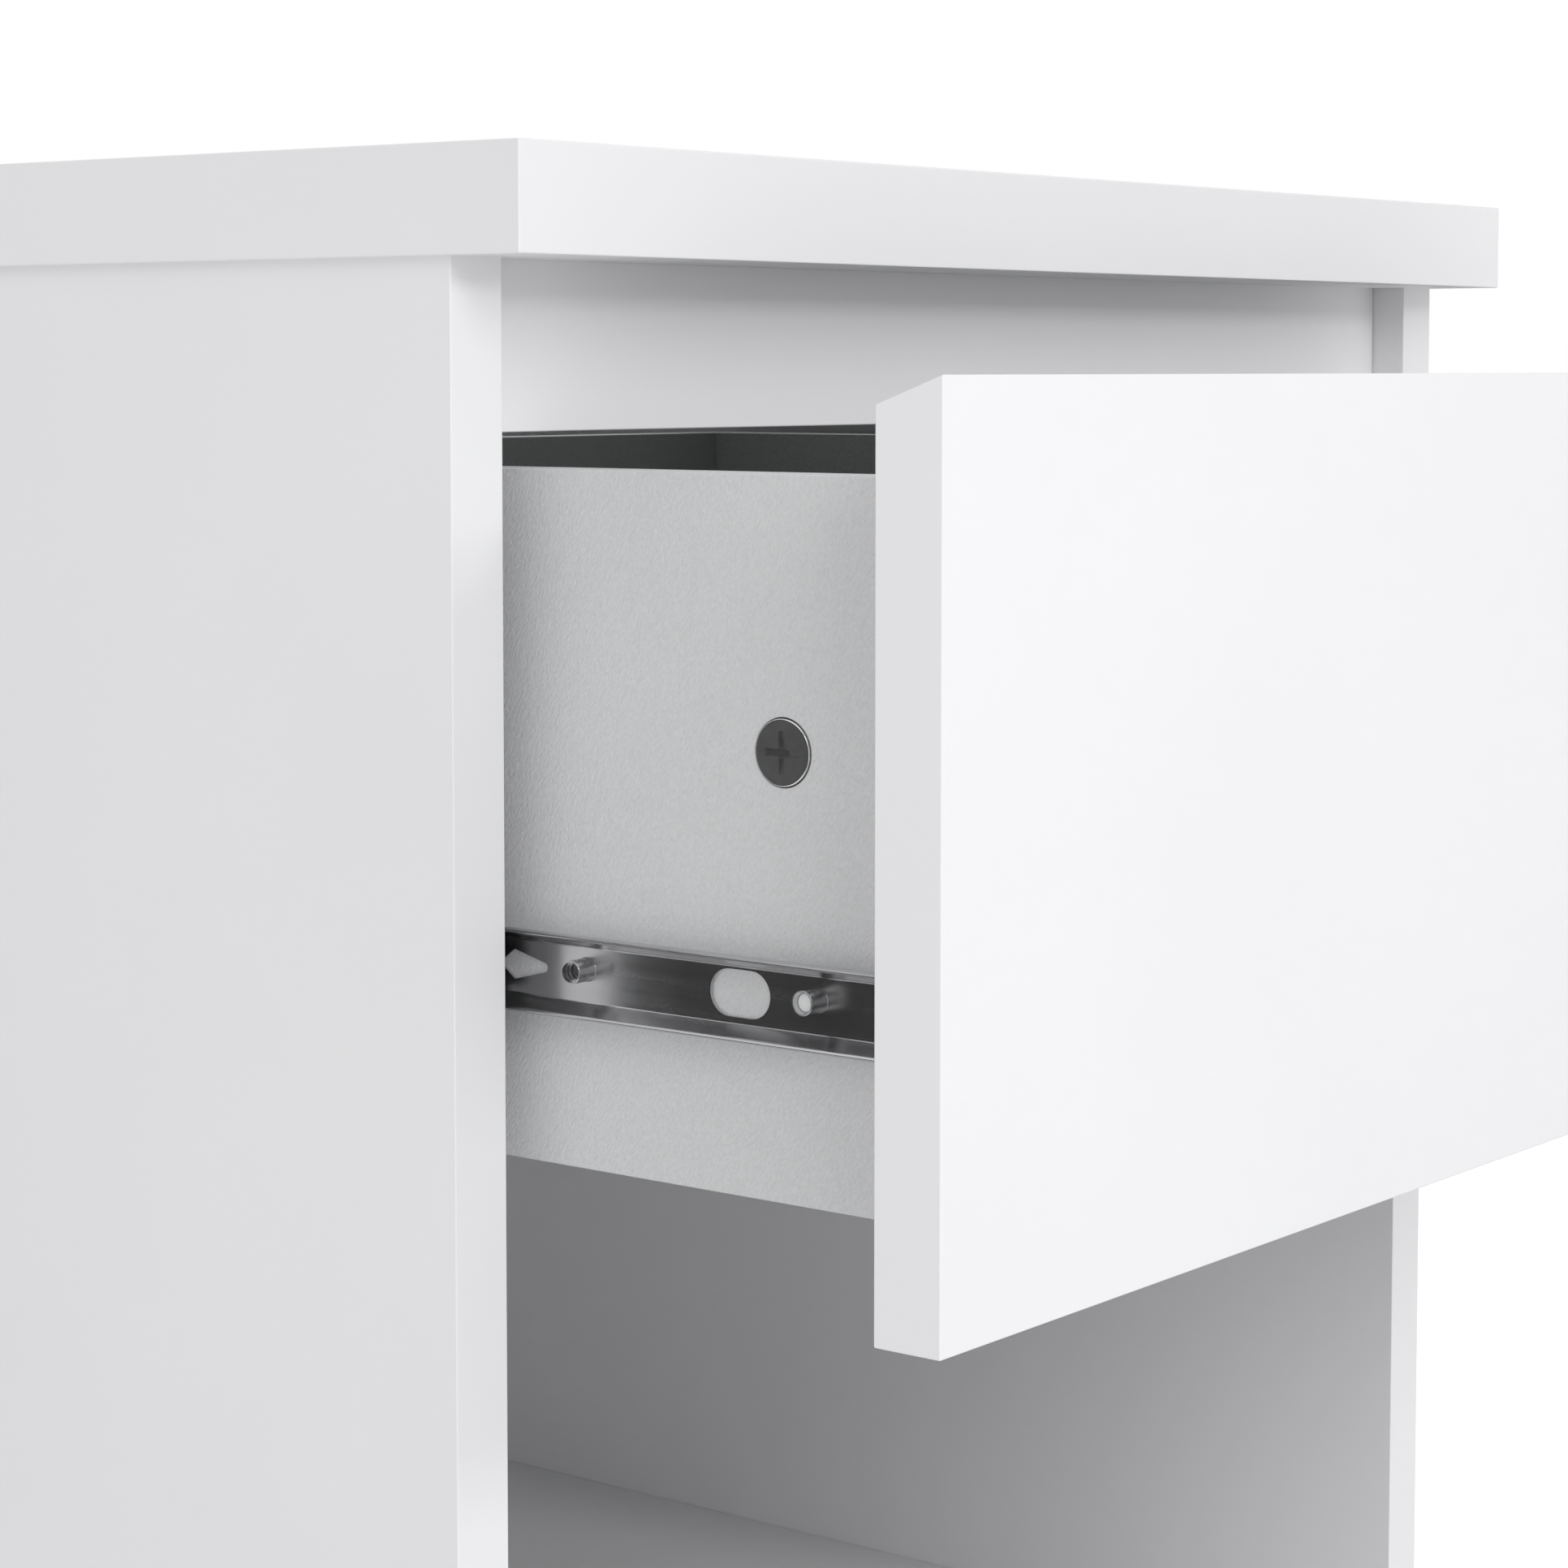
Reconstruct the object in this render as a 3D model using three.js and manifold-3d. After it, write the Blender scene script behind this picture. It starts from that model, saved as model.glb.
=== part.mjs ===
// A white under-desk drawer cabinet: a panel carcass with one overlay drawer on ball-bearing slides
// over an open compartment. Millimetres, +Z up, the drawer opens towards -Y.
// The drawer is modelled drawn out by DRAWER.opening. Cabinet coordinates have X = 0 at mid-width,
// Y = 0 at the top panel's front edge and Z = 0 on the floor; the last group shifts Y so that the
// origin lies under the middle of the whole object.
import * as THREE from "three";
import { mergeVertices } from "three/addons/utils/BufferGeometryUtils.js";
import Module from "manifold-3d";

const wasm = await Module();
wasm.setup();

// ---------------------------------------------------------------- driving dimensions
const HEIGHT = 490;
const GAP = 0.2; // between pieces that touch
const TOP = { width: 403, depth: 400, thickness: 22, overhang: 20, backOverhang: 10 };
const CARCASS = { width: 399, board: 15, back: 3, backInset: 3, grooveDepth: 6 };
const RAIL = { height: 35, setback: 9.5 };
const SHELF = { top: 75.6 };
const PLINTH = { setback: 30 };
const GLIDE = { height: 3, radius: 7, nailRadius: 1.1, nailLength: 11, inset: 35 };
const DRAWER = {
  opening: 101.2,
  frontGap: 1.2,
  frontWidth: 396,
  frontBottom: 267.6,
  frontTop: 445,
  frontBoard: 15,
  topBevel: 5.5,
  width: 350,
  board: 12,
  length: 342,
  sideBottom: 284.7,
  sideTop: 425.8,
  bottomBoard: 3,
  bottomLift: 9,
  grooveDepth: 6,
};
const SLIDE = {
  length: 350,
  height: 17,
  centreZ: 324.5,
  sheet: 0.7,
  cabinetLength: 343,
  cabinetInset: 9.4,
  bendRadius: 1,
  raceRadius: 1.8,
  flare: Math.PI * 0.19,
  innerHeight: 11,
  ballRadius: 1.05,
  ballU: 4.6,
  ballPlay: 0.1,
  stripLength: 83,
  stripWidth: 1.2,
  stripThickness: 0.7,
  ballCount: 5,
};
const CAM = { radius: 7.5, depth: 12.2, reach: 24, boltDepth: 7.5, threadLength: 9.5 };
const DRAWER_CAM = { radius: 6.6, depth: 9, reach: 38.9, boltDepth: 6, threadLength: 9, proud: 0.5 };
const BOLT = { shankRadius: 2.8, headRadius: 3.3, threadRadius: 2.5 };
const SCREW = { shankRadius: 1.6, headRadius: 3.4, headHeight: 1.7 };
const CLEARANCE = 0.3; // around fasteners and inserts
const ROUND = 16; // sides of a round piece that shows
const COARSE = 8; // sides of a screw, bolt or hole inside the boards

// Faces that follow from them
const halfWidth = CARCASS.width / 2;
const innerHalf = halfWidth - CARCASS.board;
const topUnderside = HEIGHT - TOP.thickness;
const panelFront = TOP.overhang;
const panelBack = TOP.depth - TOP.backOverhang;
const backFront = panelBack - CARCASS.backInset - CARCASS.back;
const railFront = panelFront + RAIL.setback;
const shelfBottom = SHELF.top - CARCASS.board;
const frontBack = panelFront - DRAWER.frontGap - DRAWER.opening;
const frontFace = frontBack - DRAWER.frontBoard;
const boxHalf = DRAWER.width / 2;
const boxFront = frontBack + GAP;
const boxBack = boxFront + DRAWER.length;
const slideGap = innerHalf - boxHalf;
const flange = SLIDE.height / 2;
const ballW = flange - SLIDE.sheet - SLIDE.ballPlay - SLIDE.ballRadius;
const drawerMemberFront = frontBack + 2.7;
const drawerMemberBack = drawerMemberFront + SLIDE.length;
const cabinetMemberFront = panelFront + SLIDE.cabinetInset;

// ---------------------------------------------------------------- solids
// A closed geometry as a manifold solid, and back.
function toSolid(geometry) {
  const bare = new THREE.BufferGeometry();
  bare.setAttribute("position", geometry.getAttribute("position"));
  bare.setIndex(geometry.index);
  const merged = mergeVertices(bare, 1e-4);
  const triVerts = new Uint32Array(merged.index.array);
  const vertProperties = merged.attributes.position.array;
  return new wasm.Manifold(new wasm.Mesh({ numProp: 3, vertProperties, triVerts }));
}

function toGeometry(solid) {
  const { vertProperties, triVerts } = solid.getMesh();
  const shared = new THREE.BufferGeometry();
  shared.setAttribute("position", new THREE.BufferAttribute(vertProperties, 3));
  shared.setIndex(new THREE.BufferAttribute(triVerts, 1));
  const flat = shared.toNonIndexed();
  flat.computeVertexNormals();
  return flat;
}

function join(solids) {
  return solids.reduce((whole, next) => whole.add(next));
}

function cut(solid, tools) {
  return tools.reduce((left, tool) => left.subtract(tool), solid);
}

function block([x0, x1], [y0, y1], [z0, z1], matrix = new THREE.Matrix4()) {
  const geometry = new THREE.BoxGeometry(Math.abs(x1 - x0), y1 - y0, z1 - z0);
  geometry.translate((x0 + x1) / 2, (y0 + y1) / 2, (z0 + z1) / 2);
  return toSolid(geometry.applyMatrix4(matrix));
}

// A rod along local Z from z0 to z1.
function rod(radius, z0, z1, matrix = new THREE.Matrix4(), segments = ROUND) {
  const geometry = new THREE.CylinderGeometry(radius, radius, z1 - z0, segments);
  geometry.rotateX(Math.PI / 2).translate(0, 0, (z0 + z1) / 2);
  return toSolid(geometry.applyMatrix4(matrix));
}

// A turned piece about local Z. The profile is [radius, z] from the lower end on the axis to the upper.
function turned(profile, matrix = new THREE.Matrix4(), segments = ROUND) {
  const points = profile.map(([radius, z]) => new THREE.Vector2(radius, z));
  const geometry = new THREE.LatheGeometry(points, segments).rotateX(Math.PI / 2);
  return toSolid(geometry.applyMatrix4(matrix));
}

// A closed outline in X and Z, drawn out along Y from y0 to y1.
function drawnAlongY(shape, y0, y1) {
  const geometry = new THREE.ExtrudeGeometry(shape, { depth: y1 - y0, bevelEnabled: false });
  return toSolid(geometry.rotateX(Math.PI / 2).translate(0, y1, 0));
}

// A closed outline in Y and Z, drawn out along X from x0 to x1.
function drawnAlongX(shape, x0, x1) {
  const geometry = new THREE.ExtrudeGeometry(shape, { depth: x1 - x0, bevelEnabled: false });
  const [x, y, z] = [[1, 0, 0], [0, 1, 0], [0, 0, 1]].map((axis) => new THREE.Vector3(...axis));
  return toSolid(geometry.applyMatrix4(new THREE.Matrix4().makeBasis(y, z, x)).translate(x0, 0, 0));
}

// Local frame at a point: local Z along out, local Y along run.
function placeAt(point, out, run) {
  const z = new THREE.Vector3(...out);
  const y = new THREE.Vector3(...run);
  const x = new THREE.Vector3().crossVectors(y, z);
  return new THREE.Matrix4().makeBasis(x, y, z).setPosition(...point);
}

// ---------------------------------------------------------------- the model's groups and looks
const looks = {
  melamine: { color: 0xf2f2f3, roughness: 0.45, metalness: 0 },
  drawerSide: { color: 0xc9cacb, roughness: 0.6, metalness: 0 },
  hardboard: { color: 0xb9b2a6, roughness: 0.8, metalness: 0 },
  steel: { color: 0xb8b9bb, roughness: 0.22, metalness: 1 },
  zinc: { color: 0x8c8d90, roughness: 0.35, metalness: 1 },
  nylon: { color: 0xe9e9e6, roughness: 0.5, metalness: 0 },
};
const unit = new THREE.Group();

function addMesh(name, solid, look) {
  const mesh = new THREE.Mesh(toGeometry(solid), new THREE.MeshStandardMaterial(looks[look]));
  mesh.name = name;
  unit.add(mesh);
}

// ---------------------------------------------------------------- fasteners
// Cam fitting in local coordinates: the panel's face is Z = 0, the cam sits under it and the bolt
// runs along +Y through the panel's edge at reach into the next board.
function camPocket(cam, matrix) {
  const radius = cam.radius + CLEARANCE;
  const axis = matrix.clone().multiply(placeAt([0, 0, -cam.boltDepth], [0, 1, 0], [0, 0, 1]));
  return join([
    rod(radius, -cam.depth - CLEARANCE, 1, matrix),
    rod(BOLT.headRadius + CLEARANCE, 0, cam.reach + 1, axis, COARSE),
  ]);
}

function threadHole(cam, matrix) {
  const axis = matrix.clone().multiply(placeAt([0, 0, -cam.boltDepth], [0, 1, 0], [0, 0, 1]));
  return rod(BOLT.threadRadius + CLEARANCE, cam.reach - 1, cam.reach + cam.threadLength + 1, axis, COARSE);
}

function camHousing(cam, matrix, proud = 0) {
  const axis = matrix.clone().multiply(placeAt([0, 0, -cam.boltDepth], [0, 1, 0], [0, 0, 1]));
  const body = rod(cam.radius, -cam.depth, proud, matrix);
  const arm = cam.radius * 0.66;
  return cut(body, [
    block([-0.7, 0.7], [-arm, arm], [proud - 1, proud + 1], matrix),
    block([-arm, arm], [-0.7, 0.7], [proud - 1, proud + 1], matrix),
    rod(BOLT.headRadius + CLEARANCE, -1, cam.radius + 1, axis, COARSE),
  ]);
}

function camBolt(cam, matrix) {
  const axis = matrix.clone().multiply(placeAt([0, 0, -cam.boltDepth], [0, 1, 0], [0, 0, 1]));
  const neck = BOLT.headRadius - 1.3;
  const end = cam.reach + cam.threadLength;
  const profile = [
    [0, 0.5], [BOLT.headRadius, 1], [BOLT.headRadius, 2.6], [neck, 3.4], [neck, 6.5],
    [BOLT.shankRadius, 7.5], [BOLT.shankRadius, cam.reach - 0.4],
    [BOLT.threadRadius, cam.reach], [BOLT.threadRadius, end - 1], [0, end],
  ];
  return turned(profile, axis, COARSE);
}

// Wood screw: the head's top is Z = 0 and the tip points to -Z. A sunk head is a cone, else a pan.
function woodScrew(length, sunk, matrix) {
  const { headRadius, headHeight, shankRadius } = SCREW;
  const headBottom = sunk ? -headRadius + shankRadius : -headHeight;
  const head = sunk
    ? [[shankRadius, headBottom], [headRadius, -0.3], [headRadius, 0], [0, 0]]
    : [[shankRadius, headBottom], [headRadius, headBottom], [headRadius, headBottom + 0.6],
       [headRadius - 1.2, 0], [0, 0]];
  const tip = [[0, -length], [shankRadius, -length + 3.5]];
  const arm = headRadius * 0.55;
  return cut(turned([...tip, ...head], matrix, COARSE), [
    block([-0.4, 0.4], [-arm, arm], [-1, 1], matrix),
    block([-arm, arm], [-0.4, 0.4], [-1, 1], matrix),
  ]);
}

function screwHole(length, sunk, matrix) {
  const shank = rod(SCREW.shankRadius + CLEARANCE, -length - CLEARANCE - 0.2, 1, matrix, COARSE);
  const outer = SCREW.headRadius + CLEARANCE;
  const seat = [[0, -outer], [outer, 0], [outer, 1], [0, 1]];
  return sunk ? shank.add(turned(seat, matrix, COARSE)) : shank;
}

const sides = [["left", -1], ["right", 1]];
const ends = [["front", 1], ["rear", -1]];
const camInset = 60;
const camYs = { front: panelFront + camInset, rear: panelBack - camInset };

// Each cam fitting of the carcass: its node names' stem, the board that holds the cam, the board that
// takes the thread, and its local frame.
const carcassCams = sides.flatMap(([side, s]) => {
  const edge = innerHalf - GAP - CAM.reach;
  const shelfCams = ends.map(([end]) => ({
    stem: `shelf_${end}_${side}`,
    host: "bottom_shelf",
    taker: `${side}_side_panel`,
    matrix: placeAt([s * edge, camYs[end], shelfBottom], [0, 0, -1], [s, 0, 0]),
  }));
  const topCams = ends.map(([end]) => ({
    stem: `top_${end}_${side}`,
    host: `${side}_side_panel`,
    taker: "top_panel",
    matrix: placeAt([s * innerHalf, camYs[end], topUnderside - GAP - CAM.reach], [-s, 0, 0], [0, 0, 1]),
  }));
  const railZ = topUnderside - RAIL.height / 2;
  const railCam = {
    stem: `rail_${side}`,
    host: "front_rail",
    taker: `${side}_side_panel`,
    matrix: placeAt([s * edge, railFront + CARCASS.board, railZ], [0, 1, 0], [s, 0, 0]),
  };
  return [...shelfCams, ...topCams, railCam];
});

function camCutsIn(node) {
  const pockets = carcassCams.filter((c) => c.host === node).map((c) => camPocket(CAM, c.matrix));
  const threads = carcassCams.filter((c) => c.taker === node).map((c) => threadHole(CAM, c.matrix));
  return [...pockets, ...threads];
}

for (const { stem, matrix } of carcassCams) {
  addMesh(`${stem}_cam`, camHousing(CAM, matrix), "zinc");
  addMesh(`${stem}_cam_bolt`, camBolt(CAM, matrix), "steel");
}

// ---------------------------------------------------------------- carcass
const cabinetScrewYs = [cabinetMemberFront + 40, cabinetMemberFront + 290];
const cabinetScrewLength = 12;
const webU = slideGap - GAP - SLIDE.sheet; // the cabinet member's web, towards the drawer

function cabinetScrewFrame(s, y) {
  const headTop = boxHalf + webU - 0.1 - SCREW.headHeight;
  return placeAt([s * headTop, y, SLIDE.centreZ], [-s, 0, 0], [0, 0, 1]);
}

function glideFrame(s, y) {
  return placeAt([s * (halfWidth - CARCASS.board / 2), y, 0], [0, 0, 1], [0, 1, 0]);
}

const glideYs = { front: panelFront + GLIDE.inset, rear: panelBack - GLIDE.inset };

const topBoard = block([-TOP.width / 2, TOP.width / 2], [0, TOP.depth], [topUnderside, HEIGHT]);
addMesh("top_panel", cut(topBoard, camCutsIn("top_panel")), "melamine");

for (const [side, s] of sides) {
  const name = `${side}_side_panel`;
  const board = block(
    [s * innerHalf, s * halfWidth],
    [panelFront, panelBack],
    [GLIDE.height + GAP, topUnderside - GAP],
  );
  const groove = block(
    [s * (innerHalf - 1), s * (innerHalf + CARCASS.grooveDepth)],
    [backFront - GAP, backFront + CARCASS.back + GAP],
    [0, topUnderside],
  );
  const slideHoles = cabinetScrewYs.map((y) =>
    screwHole(cabinetScrewLength, false, cabinetScrewFrame(s, y)),
  );
  const nailHoles = Object.values(glideYs).map((y) =>
    rod(GLIDE.nailRadius + CLEARANCE, 0, GLIDE.height + GLIDE.nailLength + 1, glideFrame(s, y), COARSE),
  );
  addMesh(name, cut(board, [groove, ...slideHoles, ...nailHoles, ...camCutsIn(name)]), "melamine");
}

const between = [-innerHalf + GAP, innerHalf - GAP];
const railZs = [topUnderside - RAIL.height, topUnderside - GAP];
const railBoard = block(between, [railFront, railFront + CARCASS.board], railZs);
addMesh("front_rail", cut(railBoard, camCutsIn("front_rail")), "melamine");
const shelfBoard = block(between, [panelFront, backFront - GAP], [shelfBottom, SHELF.top]);
addMesh("bottom_shelf", cut(shelfBoard, camCutsIn("bottom_shelf")), "melamine");
const plinthFront = panelFront + PLINTH.setback;
const plinthYs = [plinthFront, plinthFront + CARCASS.board];
addMesh("plinth", block(between, plinthYs, [GLIDE.height + GAP, shelfBottom - GAP]), "melamine");
const backHalf = innerHalf + CARCASS.grooveDepth - GAP;
const backYs = [backFront, backFront + CARCASS.back];
const fullZs = [GLIDE.height + GAP, topUnderside - GAP];
addMesh("back_panel", block([-backHalf, backHalf], backYs, fullZs), "hardboard");

for (const [side, s] of sides) {
  for (const [end, y] of Object.entries(glideYs)) {
    const profile = [
      [0, 0], [GLIDE.radius - 1, 0], [GLIDE.radius, 1], [GLIDE.radius, GLIDE.height],
      [GLIDE.nailRadius, GLIDE.height], [GLIDE.nailRadius, GLIDE.height + GLIDE.nailLength - 2],
      [0, GLIDE.height + GLIDE.nailLength],
    ];
    addMesh(`${end}_${side}_glide`, turned(profile, glideFrame(s, y)), "nylon");
  }
}

// ---------------------------------------------------------------- slides
// Slide sections are drawn in U and W: U runs from the drawer's side (0) to the cabinet's side, and W
// is the height over the slide's middle. A strip of sheet follows a centreline of [u, w] points.
function arc(u, w, radius, from, to, steps) {
  const points = new THREE.Path().absarc(u, w, radius, from, to, to < from).getPoints(steps);
  return points.map((p) => [p.x, p.y]);
}

function sheetSection(centreline, thickness) {
  const points = centreline.map(([u, w]) => new THREE.Vector2(u, w));
  const offsets = points.map((point, i) => {
    const before = points[Math.max(i - 1, 0)];
    const after = points[Math.min(i + 1, points.length - 1)];
    const along = after.clone().sub(before).normalize();
    return new THREE.Vector2(-along.y, along.x).multiplyScalar(thickness / 2);
  });
  const outer = points.map((point, i) => point.clone().add(offsets[i]));
  const inner = points.map((point, i) => point.clone().sub(offsets[i]));
  return [...outer, ...inner.reverse()];
}

function sectionShape(line, s) {
  const section = sheetSection(line, SLIDE.sheet);
  return new THREE.Shape(
    section.map((p) => new THREE.Vector2(s * (boxHalf + p.x), SLIDE.centreZ + p.y)),
  );
}

function mirrored(half) {
  const lower = half.map(([u, w]) => [u, -w]).reverse();
  return [...lower, ...half];
}

// The drawer member's flanges flare out from its web and end in the races of the balls.
const bend = SLIDE.bendRadius;
const drawerWeb = GAP + SLIDE.sheet / 2;
const raceW = flange - SLIDE.sheet / 2 - SLIDE.raceRadius;
const foot = Math.PI / 2 + SLIDE.flare;
const footU = SLIDE.ballU + SLIDE.raceRadius * Math.cos(foot);
const footW = raceW + SLIDE.raceRadius * Math.sin(foot);
const flareLength = footU - (drawerWeb + bend + bend * Math.cos(foot));
const bendW = footW - flareLength * Math.tan(SLIDE.flare) - bend * Math.sin(foot);
const drawerMemberLine = mirrored([
  ...arc(drawerWeb + bend, bendW, bend, Math.PI, foot, 2),
  ...arc(SLIDE.ballU, raceW, SLIDE.raceRadius, foot, Math.PI / 4, 4),
]);
const cabinetWeb = slideGap - GAP - SLIDE.sheet / 2;
const innerW = SLIDE.innerHeight / 2 - SLIDE.sheet / 2;
const cabinetMemberLine = mirrored([
  ...arc(cabinetWeb - bend, innerW - bend, bend, 0, Math.PI / 2, 3),
  [SLIDE.ballU - 1.4, innerW],
]);

// Blocks given in U and W, on one side of the cabinet.
function slideBlock(s, [u0, u1], ys, [w0, w1]) {
  return block(
    [s * (boxHalf + u0), s * (boxHalf + u1)],
    ys,
    [SLIDE.centreZ + w0, SLIDE.centreZ + w1],
  );
}

// A frame on the slide's middle line at y, its local Z along U.
function slideFrame(s, y, w = 0) {
  return placeAt([s * boxHalf, y, SLIDE.centreZ + w], [s, 0, 0], [0, 0, 1]);
}

// The end stops: bent tabs that the ball strips run up to.
const tabU = [SLIDE.ballU - 0.8, SLIDE.ballU + 0.6];
const stopLength = 2;

function bothEdges(s, ys, [low, high]) {
  return [slideBlock(s, tabU, ys, [low, high]), slideBlock(s, tabU, ys, [-high, -low])];
}

const HOLE_W = 0.3; // the slide's cut-outs lie a little above its middle
const OBROUND = { y: -33.5, length: 14.9, height: 9.4 };
const ARROW = { tipY: 16.4, shoulderY: 25.3, neckY: 28.3, endY: 31, shoulder: 3, neck: 0.9, tip: 0.9 };
const COLLAR = { ys: [5.9, -52.6], w: 1.1, outer: 2.45, bore: 1.65, foot: 3, height: 5.1 };
const drawerScrewY = drawerMemberBack - 35;

function obroundTool(s) {
  const half = (OBROUND.length - OBROUND.height) / 2;
  const radius = OBROUND.height / 2;
  const [front, rear] = [OBROUND.y - half, OBROUND.y + half];
  return join([
    rod(radius, -1, 2, slideFrame(s, front, HOLE_W)),
    rod(radius, -1, 2, slideFrame(s, rear, HOLE_W)),
    slideBlock(s, [-1, 2], [front, rear], [HOLE_W - radius, HOLE_W + radius]),
  ]);
}

function arrowTool(s) {
  const { tipY, shoulderY, neckY, endY, shoulder, neck, tip } = ARROW;
  const outline = [
    [tipY, -tip], [shoulderY, -shoulder], [neckY, -neck], [endY, -neck],
    [endY, neck], [neckY, neck], [shoulderY, shoulder], [tipY, tip],
  ];
  const shape = new THREE.Shape(
    outline.map(([y, w]) => new THREE.Vector2(y, SLIDE.centreZ + HOLE_W + w)),
  );
  const [near, far] = [s * (boxHalf - 1), s * (boxHalf + 2)];
  return drawnAlongX(shape, Math.min(near, far), Math.max(near, far));
}

for (const [side, s] of sides) {
  const strip = drawnAlongY(sectionShape(drawerMemberLine, s), drawerMemberFront, drawerMemberBack);
  const web = GAP + SLIDE.sheet;
  const collars = COLLAR.ys.map((y) =>
    turned(
      [[0, GAP + 0.1], [COLLAR.foot, GAP + 0.1], [COLLAR.foot, web], [COLLAR.outer, web + 0.7],
       [COLLAR.outer, web + COLLAR.height], [0, web + COLLAR.height]],
      slideFrame(s, y, COLLAR.w),
    ),
  );
  const bores = COLLAR.ys.map((y) => rod(COLLAR.bore, -1, 8, slideFrame(s, y, COLLAR.w), 12));
  const rearStops = bothEdges(s, [drawerMemberBack - stopLength, drawerMemberBack], [6, flange - 0.3]);
  const screwBore = rod(SCREW.shankRadius + CLEARANCE, -1, 2, slideFrame(s, drawerScrewY));
  const member = cut(join([strip, ...collars, ...rearStops]), [
    ...bores,
    screwBore,
    obroundTool(s),
    arrowTool(s),
  ]);
  addMesh(`${side}_drawer_slide_member`, member, "steel");
}

for (const [side, s] of sides) {
  const memberEnds = [cabinetMemberFront, cabinetMemberFront + SLIDE.cabinetLength];
  const strip = drawnAlongY(sectionShape(cabinetMemberLine, s), ...memberEnds);
  const frontStops = bothEdges(
    s,
    [cabinetMemberFront, cabinetMemberFront + stopLength],
    [SLIDE.innerHeight / 2 - 0.4, ballW + 0.6],
  );
  const bores = cabinetScrewYs.map((y) =>
    rod(SCREW.shankRadius + CLEARANCE, webU - 1, slideGap, slideFrame(s, y)),
  );
  addMesh(`${side}_cabinet_slide_member`, cut(join([strip, ...frontStops]), bores), "steel");
  ends.forEach(([end], i) => {
    const frame = cabinetScrewFrame(s, cabinetScrewYs[i]);
    addMesh(`${side}_cabinet_slide_screw_${end}`, woodScrew(cabinetScrewLength, false, frame), "steel");
  });
}

// The ball strips ride between the members at half the drawer's travel.
const fullTravel = 250;
const stripShut = cabinetMemberFront + stopLength + 2.6 + fullTravel / 2;
const stripFront = stripShut - DRAWER.opening / 2;

for (const [side, s] of sides) {
  for (const [edge, up] of [["upper", 1], ["lower", -1]]) {
    const w = up * ballW;
    const halfStrip = SLIDE.stripThickness / 2;
    const strip = slideBlock(
      s,
      [SLIDE.ballU - SLIDE.stripWidth / 2, SLIDE.ballU + SLIDE.stripWidth / 2],
      [stripFront, stripFront + SLIDE.stripLength],
      [w - halfStrip, w + halfStrip],
    );
    const pitch = SLIDE.stripLength / SLIDE.ballCount;
    const balls = Array.from({ length: SLIDE.ballCount }, (_, i) => {
      const ball = new THREE.SphereGeometry(SLIDE.ballRadius, 6, 4);
      const y = stripFront + pitch * (i + 0.5);
      return toSolid(ball.translate(s * (boxHalf + SLIDE.ballU), y, SLIDE.centreZ + w));
    });
    addMesh(`${side}_${edge}_ball_strip`, join([strip, ...balls]), "nylon");
  }
}

// ---------------------------------------------------------------- drawer
const camZ = 372.4;
const camY = frontBack + DRAWER_CAM.reach;
const bottomZ = DRAWER.sideBottom + DRAWER.bottomLift;
const bottomTop = bottomZ + DRAWER.bottomBoard;
const backScrewZs = { upper: 400, lower: 306 };
const backScrewLength = 35;
const memberScrewLength = 11;
const pinLength = 9;

function drawerCamFrame(s) {
  return placeAt([s * boxHalf, camY, camZ], [s, 0, 0], [0, -1, 0]);
}

function backScrewFrame(s, z) {
  return placeAt([s * boxHalf, boxBack - DRAWER.board / 2, z], [s, 0, 0], [0, 0, 1]);
}

function memberScrewFrame(s) {
  const headTop = boxHalf + GAP + SLIDE.sheet + 0.1 + SCREW.headHeight;
  return placeAt([s * headTop, drawerScrewY, SLIDE.centreZ], [s, 0, 0], [0, 0, 1]);
}

const frontOutline = new THREE.Shape([
  new THREE.Vector2(frontFace, DRAWER.frontBottom),
  new THREE.Vector2(frontBack, DRAWER.frontBottom),
  new THREE.Vector2(frontBack, DRAWER.frontTop - DRAWER.topBevel),
  new THREE.Vector2(frontFace, DRAWER.frontTop),
]);
const boxInner = boxHalf - DRAWER.board;
const bottomHalf = boxInner + DRAWER.grooveDepth - GAP;
const bottomSlot = [bottomZ - GAP, bottomTop + GAP];
addMesh(
  "drawer_front",
  cut(drawnAlongX(frontOutline, -DRAWER.frontWidth / 2, DRAWER.frontWidth / 2), [
    block(
      [-bottomHalf - GAP, bottomHalf + GAP],
      [frontBack - DRAWER.grooveDepth, frontBack + 1],
      bottomSlot,
    ),
    ...sides.map(([, s]) => threadHole(DRAWER_CAM, drawerCamFrame(s))),
  ]),
  "melamine",
);
addMesh(
  "drawer_bottom",
  block(
    [-bottomHalf, bottomHalf],
    [frontBack - DRAWER.grooveDepth + GAP, boxBack],
    [bottomZ, bottomTop],
  ),
  "hardboard",
);
addMesh(
  "drawer_back",
  cut(
    block(
      [-boxInner + GAP, boxInner - GAP],
      [boxBack - DRAWER.board, boxBack],
      [bottomTop + GAP, DRAWER.sideTop],
    ),
    sides.flatMap(([, s]) =>
      Object.values(backScrewZs).map((z) => screwHole(backScrewLength, false, backScrewFrame(s, z))),
    ),
  ),
  "drawerSide",
);

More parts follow.
